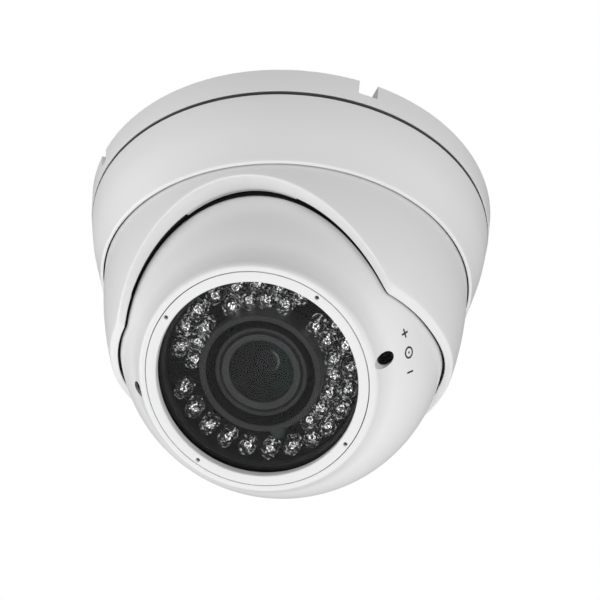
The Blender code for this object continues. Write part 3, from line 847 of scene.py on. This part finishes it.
def build_window():
    """Trim ring with its four grub screws, the tinted disc and its seal."""
    ring = turned(
        "window_trim_ring",
        [
            (RING_INNER, 36.6, 0.1),
            (RING_OUTER, 36.6, 0.1),
            (RING_OUTER, RING_FACE, 0.15),
            (RING_INNER, RING_FACE, 0.5),
        ],
        256,
        white,
        BALL,
    )
    tools = []
    for i in range(4):
        x, y, _ = around(RING_SCREW_CIRCLE, 45.0 + 90.0 * i)
        place = BALL @ Matrix.Translation((x, y, 0.0))
        hole = [(0.0, 33.4), (0.62, 33.4), (0.62, 39.1), (0.7, 39.25), (0.7, 41.0), (0.0, 41.0)]
        tools.append(turned(f"screw_tool_{i}", hole, 24, white, place))
        screw = turned(
            f"ring_grub_screw_{i + 1}",
            [(0.0, 33.8), (0.45, 33.8), (0.45, 38.4, 0.1), (0.2, 38.4), (0.2, 38.0), (0.0, 38.0)],
            20,
            dark_steel,
            place,
        )
        stand_for(screw, "eyeball", "steel", f"ring_screw_{i + 1}")
    carve(ring, *tools)
    stand_for(ring, "eyeball", "white_paint", "window_ring")
    back = GLASS_TOP - GLASS_THICKNESS
    glass = turned(
        "window_disc",
        [(0.0, GLASS_TOP), (29.4, GLASS_TOP, 0.3), (29.4, back, 0.3), (0.0, back)],
        128,
        pane,
        BALL,
    )
    stand_for(glass, "eyeball", "window_glass", "window_glass")
    gasket = turned(
        "window_seal",
        [(27.95, 33.2, 0.1), (29.4, 33.2, 0.2), (29.4, 33.9, 0.2), (27.95, 33.9, 0.3)],
        128,
        rubber,
        BALL,
    )
    stand_for(gasket, "eyeball", "black_rubber", "window_gasket")


def led_angles(start, empty):
    """Angles of the filled places on a circle of evenly spaced lamps, in degrees."""
    pitch = 360.0 / LED_SLOTS
    return [start - pitch * i for i in range(LED_SLOTS) if i not in empty]


def lamp_outline():
    """Outline of one clear lamp: a rimmed foot, a straight wall and a dome."""
    steps = 10
    angles = [math.pi / 2.0 * i / steps for i in range(steps + 1)]
    dome = [
        (LAMP_RADIUS * math.cos(a), LAMP_DOME_START + LAMP_DOME_RISE * math.sin(a))
        for a in angles
    ]
    rim = LAMP_RADIUS + 0.18
    return [(0.0, LAMP_FOOT), (rim, LAMP_FOOT), (rim, 25.3), (LAMP_RADIUS, 25.5)] + dome


def build_lamps(name, circle, start, empty, seed):
    """Clear 5 mm lamps, each with its lead frame, cup and die inside."""
    random.seed(seed)
    clear_bm, metal_bm, die_bm = bmesh.new(), bmesh.new(), bmesh.new()
    outline = lamp_outline()
    cup = [
        (0.0, 26.9),
        (0.62, 26.9),
        (1.12, 28.35),
        (1.02, 28.4),
        (0.5, 27.35),
        (0.0, 27.35),
    ]
    post = [(0.0, 24.0), (0.28, 24.0), (0.34, 26.95), (0.0, 26.95)]
    anvil = [(0.0, 24.0), (0.26, 24.0), (0.30, 27.6), (0.42, 28.0), (0.0, 28.1)]
    chip = [(0.0, 27.3), (0.3, 27.3), (0.3, 27.55), (0.0, 27.55)]
    for degrees in led_angles(start, empty):
        x, y, _ = around(circle, degrees)
        lean = Matrix.Rotation(math.radians(random.uniform(-LAMP_LEAN, LAMP_LEAN)), 4, "X")
        lean = lean @ Matrix.Rotation(math.radians(random.uniform(-LAMP_LEAN, LAMP_LEAN)), 4, "Y")
        spin = Matrix.Rotation(math.radians(random.uniform(0.0, 360.0)), 4, "Z")
        foot = Matrix.Translation((0.0, 0.0, LAMP_FOOT))
        place = Matrix.Translation((x, y, 0.0)) @ foot @ lean @ foot.inverted() @ spin
        add_turned(clear_bm, outline, 24, place)
        add_turned(metal_bm, cup, 20, place)
        add_turned(metal_bm, post, 10, place)
        add_turned(metal_bm, anvil, 8, place @ Matrix.Translation((1.35, 0.0, 0.0)))
        add_turned(die_bm, chip, 4, place)
    lamps = new_piece(f"{name}_lamp_bodies", clear_bm, epoxy, BALL)
    stand_for(lamps, "eyeball", "clear_epoxy", f"{name}_leds")
    frames = new_piece(f"{name}_lamp_frames", metal_bm, cup_metal, BALL)
    stand_for(frames, "eyeball", "steel")
    dies = new_piece(f"{name}_lamp_dies", die_bm, die, BALL)
    stand_for(dies, "eyeball", "dark_plastic")


def build_lamp_deck():
    """Lamp board with its two circles of lamps and the light sensor."""
    deck = turned(
        "lamp_board",
        [(18.0, 22.4), (27.6, 22.4), (27.6, 24.0, 0.1), (18.0, 24.0, 0.1)],
        160,
        board,
        BALL,
    )
    stand_for(deck, "eyeball", "circuit_board", "led_board")
    build_lamps("outer", OUTER_LED_CIRCLE, OUTER_LED_START, OUTER_EMPTY_PLACES, 11)
    build_lamps("inner", INNER_LED_CIRCLE, INNER_LED_START, INNER_EMPTY_PLACES, 23)
    x, y, _ = around(20.2, -90.0)
    cell = turned(
        "light_sensor",
        [(0.0, 24.1), (2.1, 24.1), (2.1, 27.6, 0.3), (1.5, 28.0, 0.3), (0.0, 28.0)],
        40,
        photocell_face,
        BALL @ Matrix.Translation((x, y, 0.0)),
    )
    stand_for(cell, "eyeball", "window_glass", "photocell")


def build_hood():
    """Rubber hood that keeps the lamps' light out of the lens."""
    hood = turned(
        "lens_hood",
        [
            (14.0, 20.9),
            (HOOD_RADIUS, 20.9),
            (HOOD_RADIUS, HOOD_FACE, 0.45),
            (HOOD_MOUTH_RADIUS, HOOD_FACE, 0.35),
            (15.3, 32.2, 0.3),
            (14.3, 27.0),
        ],
        160,
        hood_rubber,
        BALL,
    )
    # Painted shade: the hood's inner wall is painted near black.
    paint_inside(hood, rubber_and_painted_shade, in_hood_shade)
    stand_for(hood, "eyeball", "black_rubber", "ir_shroud")


# ---------------------------------------------------------------- lens


def build_lens():
    """Barrel, front ring, front cell and the lenses and baffle that show through it."""
    barrel = turned(
        "lens_tube",
        [
            (7.0, 4.2),
            (8.0, 4.2),
            (8.0, 14.9),
            (11.5, 14.9),
            (11.5, 20.5),
            (BARREL_RADIUS, 20.5),
            (BARREL_RADIUS, 32.2, 0.4),
            (12.3, 32.2, 0.3),
            (11.7, 31.3, 0.2),
            (11.5, 31.3, 0.1),
            (11.45, 30.0),
            (10.4, 30.0),
            (10.4, 16.0),
            (7.0, 16.0),
        ],
        128,
        lens_black,
        BALL,
    )
    stand_for(barrel, "eyeball", "lens_black", "lens_barrel")
    front_ring = turned(
        "lens_front_ring",
        [
            (11.4, 30.3),
            (11.35, 32.15, 0.25),
            (10.6, 32.15, 0.3),
            (9.35, 31.75, 0.15),
            (9.35, 30.3),
        ],
        128,
        lens_bright,
        BALL,
    )
    tools = []
    for degrees in (52.0, 232.0):
        x, y, _ = around(10.95, degrees)
        low, high = (x, y, 31.2), (x, y, 33.0)
        tools.append(rod(f"spanner_{degrees:.0f}", low, high, 0.28, lens_bright, BALL, 16))
    carve(front_ring, *tools)
    stand_for(front_ring, "eyeball", "lens_black")

    cell = turned(
        "front_cell",
        [
            (8.4, 17.6),
            (10.1, 17.6),
            (10.1, 28.6, 0.2),
            (9.6, 28.6, 0.2),
            (9.6, 27.0),
            (8.4, 27.0),
        ],
        96,
        lens_black,
        BALL,
    )
    stand_for(cell, "front_group", "lens_black", "front_lens_cell")
    dome = [(9.3, 27.3), (9.3, 28.9), (FRONT_LENS_RADIUS, 29.2)]
    dome += cap(FRONT_LENS_SPHERE, FRONT_LENS_RADIUS, FRONT_LENS_TOP, 12)
    dome.append((0.0, 27.3))
    glass = turned("front_element", dome, 128, lens_glass, BALL)
    stand_for(glass, "front_group", "lens_glass", "front_lens")

    baffle = turned(
        "inner_baffle",
        [
            (8.3, 25.8, 0.2),
            (7.4, 25.2, 0.1),
            (7.4, 24.6, 0.1),
            (6.2, 24.2, 0.1),
            (6.2, 23.6, 0.1),
            (4.9, 23.3, 0.1),
            (4.9, 22.9, 0.1),
            (3.6, 22.8, 0.3),
            (3.6, 21.0),
            (8.3, 21.0),
        ],
        96,
        black_and_painted_shade,
        BALL,
    )
    stand_for(baffle, "front_group", "lens_black")
    # The rim's metal carries a painted highlight on its +X side.
    rim = turned(
        "inner_element_rim",
        [(3.55, 21.2), (3.55, 23.3, 0.12), (3.2, 23.45, 0.12), (3.05, 23.0), (3.05, 21.2)],
        96,
        inner_rim_painted_highlight,
        BALL,
    )
    stand_for(rim, "front_group", "lens_black")
    second = [(3.0, 21.3)] + cap(5.5, 3.0, 23.4, 8) + [(0.0, 21.3)]
    inner = turned("inner_element", second, 64, violet_glass, BALL)
    stand_for(inner, "front_group", "lens_glass")


# ---------------------------------------------------------------- printed mark


def ball_point(u, v, centre_polar, centre_azimuth, lift):
    """Point on the ball: u runs up beside the window, v runs away from it, in millimetres."""
    polar = math.radians(centre_polar) + v / BALL_RADIUS
    azimuth = math.radians(centre_azimuth) + u / (BALL_RADIUS * math.sin(math.radians(centre_polar)))
    radius = BALL_RADIUS + lift
    return Vector(
        (
            radius * math.sin(polar) * math.cos(azimuth),
            radius * math.sin(polar) * math.sin(azimuth),
            radius * math.cos(polar),
        )
    )


def add_stroke(bm, line, width, polar, azimuth, closed=False):
    """A thin raised strip of ink along a line of (u, v) points."""
    ends = []
    count = len(line)
    for i, (u, v) in enumerate(line):
        before = line[i - 1] if i or closed else line[i]
        after = line[(i + 1) % count] if i + 1 < count or closed else line[i]
        along = Vector((after[0] - before[0], after[1] - before[1])).normalized()
        across = Vector((-along.y, along.x)) * width / 2.0
        loop = []
        for side, lift in ((1, -0.02), (-1, -0.02), (-1, 0.03), (1, 0.03)):
            loop.append(
                bm.verts.new(ball_point(u + side * across.x, v + side * across.y, polar, azimuth, lift))
            )
        ends.append(loop)
    pairs = list(zip(ends, ends[1:]))
    if closed:
        pairs.append((ends[-1], ends[0]))
    for low, high in pairs:
        for i in range(4):
            bm.faces.new((low[i - 1], low[i], high[i], high[i - 1]))
    if not closed:
        bm.faces.new(ends[0])
        bm.faces.new(list(reversed(ends[-1])))


def straight(start, end, steps=6):
    """Evenly spaced points from start to end."""
    return [
        (
            start[0] + (end[0] - start[0]) * i / steps,
            start[1] + (end[1] - start[1]) * i / steps,
        )
        for i in range(steps + 1)
    ]


def build_mark():
    """Plain adjustment sign beside the port: a minus, a ring with a dot, and a plus."""
    polar, azimuth = 58.0, -2.0
    bm = bmesh.new()
    width = 0.56
    add_stroke(bm, straight((-5.8, -1.3), (-5.8, 1.3)), width, polar, azimuth)
    ring = [
        (1.5 * math.cos(2.0 * math.pi * i / 32), 1.5 * math.sin(2.0 * math.pi * i / 32))
        for i in range(32)
    ]
    add_stroke(bm, ring, width, polar, azimuth, closed=True)
    add_stroke(bm, straight((-0.3, 0.0), (0.3, 0.0), 2), 0.6, polar, azimuth)
    add_stroke(bm, straight((4.5, 0.0), (7.1, 0.0)), width, polar, azimuth)
    add_stroke(bm, straight((5.8, 0.3), (5.8, 1.3), 2), width, polar, azimuth)
    add_stroke(bm, straight((5.8, -1.3), (5.8, -0.3), 2), width, polar, azimuth)
    mark = new_piece("adjust_mark", bm, ink, BALL)
    stand_for(mark, "eyeball", "dark_plastic")


# ---------------------------------------------------------------- carried-over nodes


def dress_nodes():
    """Give every CAD node that still shows its own finished material."""
    looks = {
        "pan_friction_ring": nylon,
        "pivot_keeper_left": steel,
        "pivot_keeper_right": steel,
        "lens_mount": dark_plastic,
        "sensor_board": board,
        "image_sensor": die,
        "chassis_plate": steel,
        "main_board": board,
        "focus_idler": dark_plastic,
        "zoom_idler": dark_plastic,
        "focus_idler_post": steel,
        "zoom_idler_post": steel,
        "focus_adjuster_post": dark_plastic,
        "zoom_adjuster_post": dark_plastic,
        "focus_ring": dark_plastic,
        "zoom_ring": dark_plastic,
        "focus_adjuster": dark_plastic,
        "zoom_adjuster": dark_plastic,
        "rear_lens_cell": lens_black,
        "rear_lens": violet_glass,
        "filter_slider": steel,
    }
    for name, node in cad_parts.items():
        if node.hide_render:
            continue
        look = looks.get(name)
        if look is None and name.startswith("led_post"):
            look = nylon
        if look is None and name.startswith("board_post"):
            look = steel
        for index in range(len(node.material_slots)):
            node.material_slots[index].material = look or white


# ---------------------------------------------------------------- studio


def build_world():
    """White surroundings, with softer light from above than from below."""
    world = bpy.data.worlds.new("studio")
    bpy.context.scene.world = world
    world.use_nodes = True
    tree = world.node_tree
    tree.nodes.clear()
    output = tree.nodes.new("ShaderNodeOutputWorld")
    seen = tree.nodes.new("ShaderNodeBackground")
    seen.inputs["Color"].default_value = (1.0, 1.0, 1.0, 1.0)
    lit = tree.nodes.new("ShaderNodeBackground")
    way = tree.nodes.new("ShaderNodeTexCoord")
    axes = tree.nodes.new("ShaderNodeSeparateXYZ")
    ramp = tree.nodes.new("ShaderNodeMapRange")
    ramp.inputs["From Min"].default_value = -0.6
    ramp.inputs["From Max"].default_value = 0.5
    ramp.inputs["To Min"].default_value = 1.14
    ramp.inputs["To Max"].default_value = 0.27
    ramp.interpolation_type = "SMOOTHSTEP"
    ahead = tree.nodes.new("ShaderNodeVectorMath")
    ahead.operation = "DOT_PRODUCT"
    ahead.inputs[1].default_value = (0.28, -0.94, 0.2)
    dip = tree.nodes.new("ShaderNodeMapRange")
    dip.inputs["From Min"].default_value = 0.1
    dip.inputs["From Max"].default_value = 0.95
    dip.inputs["To Min"].default_value = 1.0
    dip.inputs["To Max"].default_value = 0.60
    dip.interpolation_type = "SMOOTHSTEP"
    product = tree.nodes.new("ShaderNodeMath")
    product.operation = "MULTIPLY"
    path = tree.nodes.new("ShaderNodeLightPath")
    mix = tree.nodes.new("ShaderNodeMixShader")
    link = tree.links.new
    link(way.outputs["Generated"], axes.inputs["Vector"])
    link(way.outputs["Generated"], ahead.inputs[0])
    link(axes.outputs["Z"], ramp.inputs["Value"])
    link(ahead.outputs["Value"], dip.inputs["Value"])
    link(ramp.outputs["Result"], product.inputs[0])
    link(dip.outputs["Result"], product.inputs[1])
    link(product.outputs["Value"], lit.inputs["Strength"])
    link(path.outputs["Is Camera Ray"], mix.inputs["Fac"])
    link(lit.outputs["Background"], mix.inputs[1])
    link(seen.outputs["Background"], mix.inputs[2])
    link(mix.outputs["Shader"], output.inputs["Surface"])


def build_floor():
    """Plain pale floor well below the hanging camera, lit from inside like a light table."""
    bm = bmesh.new()
    bmesh.ops.create_grid(bm, x_segments=1, y_segments=1, size=6000.0)
    look = Look("pale_floor", (0.86, 0.86, 0.85), 0.8)
    look.tint(look.noise(3.0, 2.0), (0.84, 0.84, 0.84))
    look.shader.inputs["Emission Color"].default_value = (1.0, 1.0, 1.0, 1.0)
    look.shader.inputs["Emission Strength"].default_value = 0.72
    floor = new_piece("studio_floor", bm, look.material, Matrix.Translation((0.0, 0.0, FLOOR_HEIGHT)))


def area_lamp(name, place, target, size, power):
    """Square white soft box that faces a target."""
    data = bpy.data.lights.new(name, "AREA")
    data.size = size
    data.energy = power
    lamp = bpy.data.objects.new(name, data)
    lamp.location = place
    lamp.rotation_mode = "QUATERNION"
    lamp.rotation_quaternion = (Vector(target) - Vector(place)).to_track_quat("-Z", "Y")
    bpy.context.scene.collection.objects.link(lamp)


def build_camera():
    """The camera looks up at the hanging object from in front and to one side."""
    azimuth, elevation, roll = 17.0, -39.37, 3.59
    distance = 0.45267
    slide = (0.0054, 0.01222)
    target = Vector((0.0, 0.0, -0.05))
    a, e, r = (math.radians(v) for v in (azimuth, elevation, roll))
    back = Vector((math.sin(a) * math.cos(e), -math.cos(a) * math.cos(e), math.sin(e)))
    right = Vector((math.cos(a), math.sin(a), 0.0))
    up = back.cross(right)
    right, up = math.cos(r) * right + math.sin(r) * up, math.cos(r) * up - math.sin(r) * right
    data = bpy.data.cameras.new("view")
    data.lens = 90.0
    data.sensor_width = 36.0
    data.clip_start = 0.01
    data.clip_end = 20.0
    camera = bpy.data.objects.new("view", data)
    camera.rotation_mode = "QUATERNION"
    axes = Matrix((right, up, back)).transposed()
    camera.rotation_quaternion = axes.to_quaternion()
    camera.location = target + back * distance + right * slide[0] + up * slide[1]
    bpy.context.scene.collection.objects.link(camera)
    bpy.context.scene.camera = camera


build_camera()
build_world()
build_floor()
area_lamp("left_box", (-0.75, -0.25, -0.12), (0.0, 0.0, -0.05), 0.5, 2.2)
area_lamp("right_box", (0.80, -0.05, -0.15), (0.0, 0.0, -0.05), 0.5, 1.0)
area_lamp("top_box", (0.1, -0.1, 1.2), (0.0, 0.0, 0.0), 0.6, 6.0)
area_lamp("spark", (0.30, -0.62, -0.42), (0.0, -0.02, -0.08), 0.06, 0.8)
bpy.context.scene.view_settings.view_transform = "Standard"

build_base()
build_cover()
build_collar()
build_wiper()
build_gimbal()
build_front_shell()
build_window()
build_lamp_deck()
build_hood()
build_lens()
build_mark()
dress_nodes()
